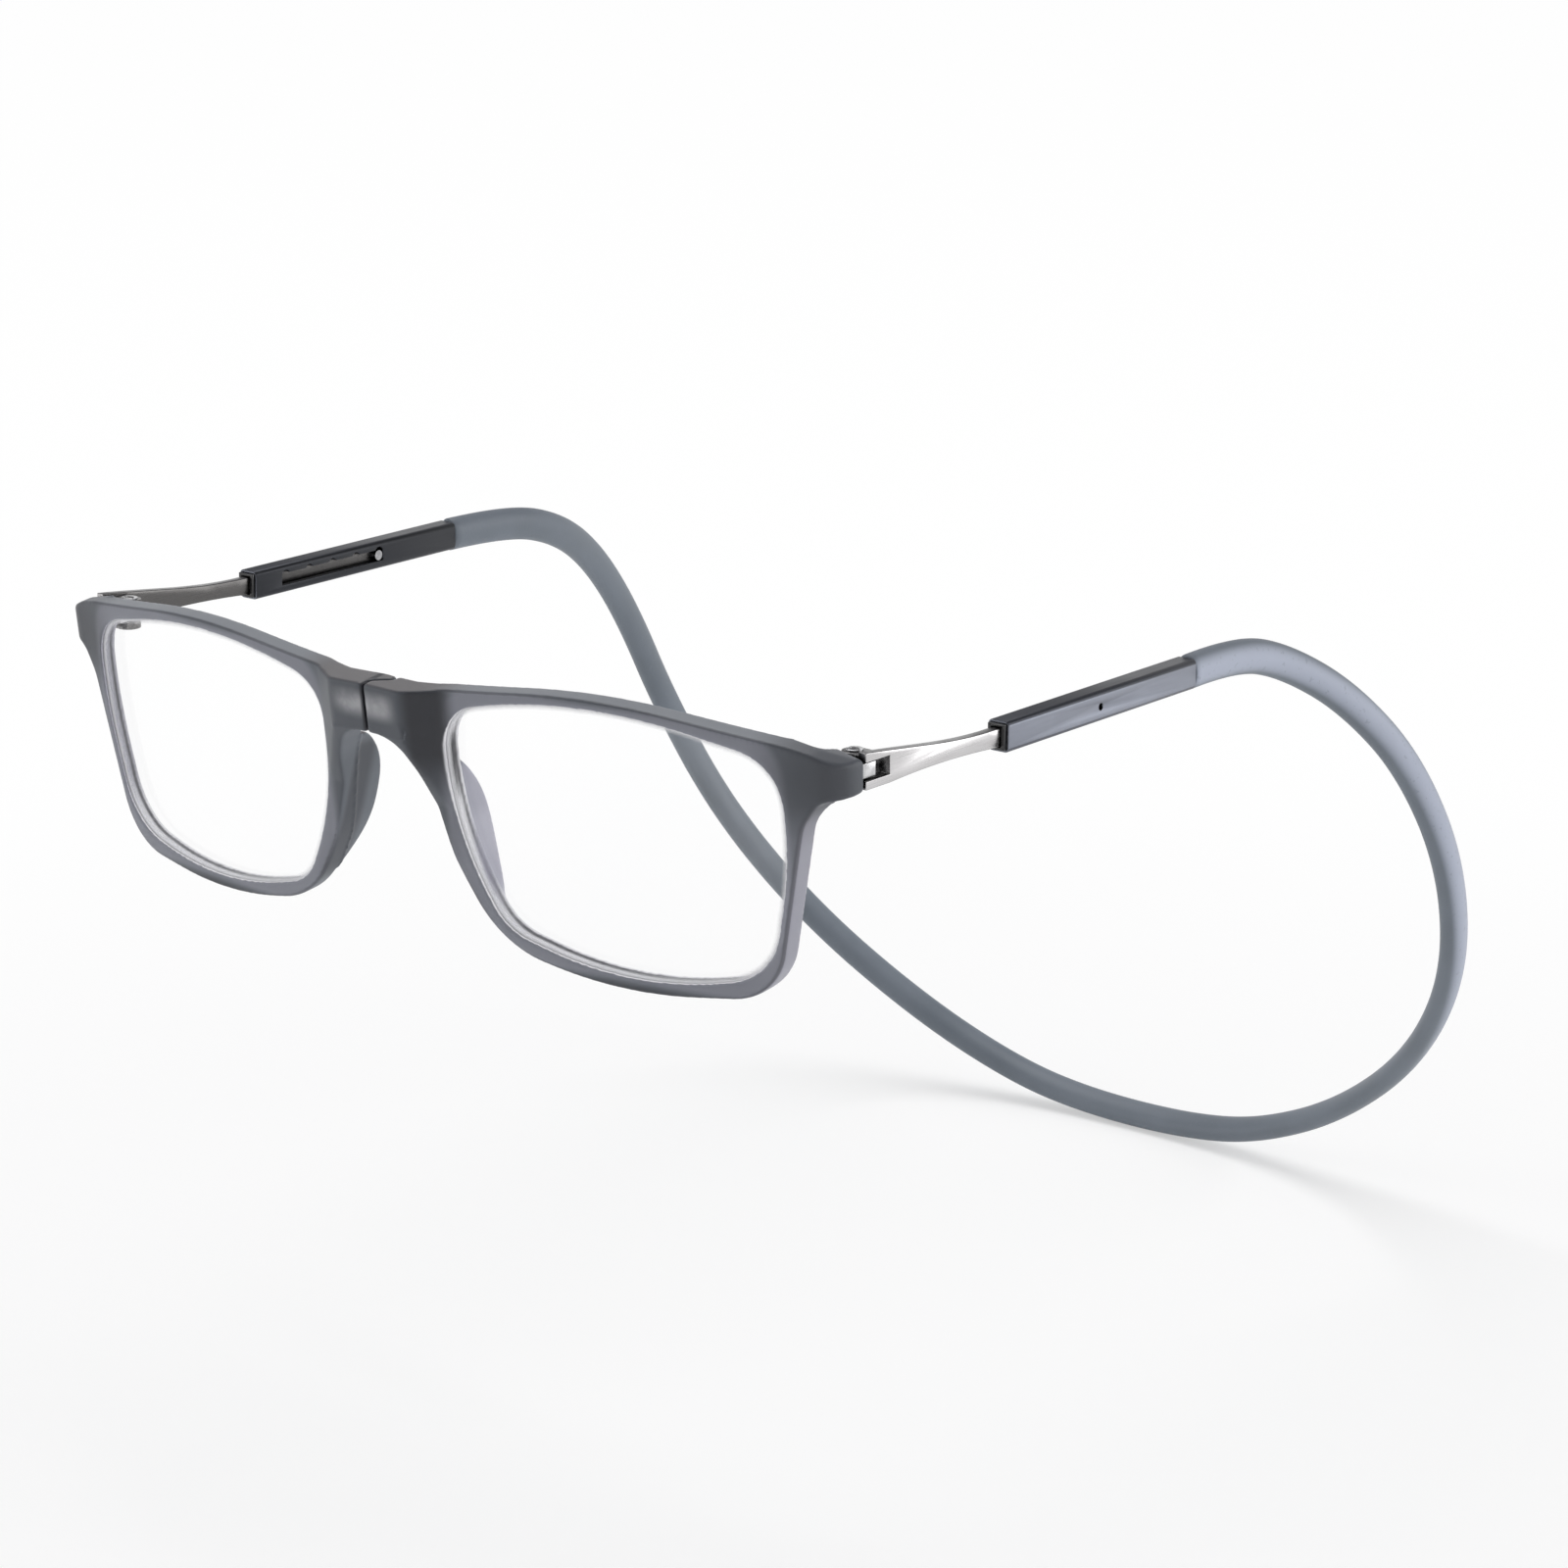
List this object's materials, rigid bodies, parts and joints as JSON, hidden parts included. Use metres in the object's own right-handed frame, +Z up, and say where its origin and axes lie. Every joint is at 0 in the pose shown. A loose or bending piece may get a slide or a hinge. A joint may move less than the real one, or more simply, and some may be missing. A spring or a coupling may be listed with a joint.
{
  "type": "magnetic bridge reading glasses",
  "caption": "Reading glasses whose front parts at a magnetic nose bridge, with hinged sliding temples and a moulded neck band behind the head.",
  "frame": {"origin": "middle of the nose gap on the front's curved front face, the pair as worn and held by the wearer's head", "axes": "+X the wearer's left, +Y rearward along the temples, +Z up"},
  "size_m": [0.1536, 0.1825, 0.1131],
  "materials": {
    "front_plastic": "polished, slightly translucent",
    "lens": "polished, clear",
    "magnet": "nickel plated",
    "magnet_cap": "smooth",
    "hinge_metal": "satin",
    "screw_metal": "satin",
    "bar_metal": "brushed",
    "stud_metal": "polished",
    "spring_metal": "plain",
    "sleeve_metal": "glossy dark grey",
    "bush_plastic": "glossy black",
    "plug_plastic": "plain",
    "band": "satin"
  },
  "bodies": {
    "neck_band": {"neck_band": "band"},
    "left_arm": {"left_sleeve": "sleeve_metal", "left_sleeve_bush": "bush_plastic", "left_band_plug": "plug_plastic", "left_detent_spring": "spring_metal"},
    "left_temple": {"left_temple_bar": "bar_metal", "left_detent_stud": "stud_metal", "left_hinge_screw": "screw_metal"},
    "left_front": {"left_rim": "front_plastic", "left_lens": "lens", "left_magnet": "magnet", "left_magnet_cap": "magnet_cap", "left_hinge_leaf": "hinge_metal", "left_hinge_anchor": "hinge_metal"},
    "right_arm": {"right_sleeve": "sleeve_metal", "right_sleeve_bush": "bush_plastic", "right_band_plug": "plug_plastic", "right_detent_spring": "spring_metal"},
    "right_temple": {"right_temple_bar": "bar_metal", "right_detent_stud": "stud_metal", "right_hinge_screw": "screw_metal"},
    "right_front": {"right_rim": "front_plastic", "right_lens": "lens", "right_magnet": "magnet", "right_magnet_cap": "magnet_cap", "right_hinge_leaf": "hinge_metal", "right_hinge_anchor": "hinge_metal"}
  },
  "joints": [
    {"name": "right_arm_flex", "type": "hinge", "parent": "neck_band", "child": "right_arm", "pos_m": [-0.02, 0.17, 0.0138], "axis": [0, 0, -1], "range_deg": [0, 15], "stiffness_Nm_per_rad": 0.09, "deforming": ["neck_band"]},
    {"name": "left_arm_flex", "type": "hinge", "parent": "neck_band", "child": "left_arm", "pos_m": [0.02, 0.17, 0.0138], "axis": [0, 0, 1], "range_deg": [0, 15], "stiffness_Nm_per_rad": 0.09, "deforming": ["neck_band"]},
    {"name": "right_temple_slide", "type": "slide", "parent": "right_arm", "child": "right_temple", "axis": [0, -1, 0], "range_m": [0, 0.0198]},
    {"name": "left_temple_slide", "type": "slide", "parent": "left_arm", "child": "left_temple", "axis": [0, -1, 0], "range_m": [0, 0.0198]},
    {"name": "right_front_fold", "type": "hinge", "parent": "right_temple", "child": "right_front", "pos_m": [-0.0653, 0.0158, 0.01525], "axis": [0, 0, 1], "range_deg": [0, 75]},
    {"name": "left_front_fold", "type": "hinge", "parent": "left_temple", "child": "left_front", "pos_m": [0.0653, 0.0158, 0.01525], "axis": [0, 0, -1], "range_deg": [0, 75]}
  ],
  "couplings": [
    {"joint": "left_arm_flex", "follows": "right_arm_flex", "ratio": 1},
    {"joint": "right_front_fold", "follows": "right_arm_flex", "ratio": 5},
    {"joint": "left_front_fold", "follows": "right_arm_flex", "ratio": 5},
    {"joint": "left_temple_slide", "follows": "right_temple_slide", "ratio": 1}
  ]
}
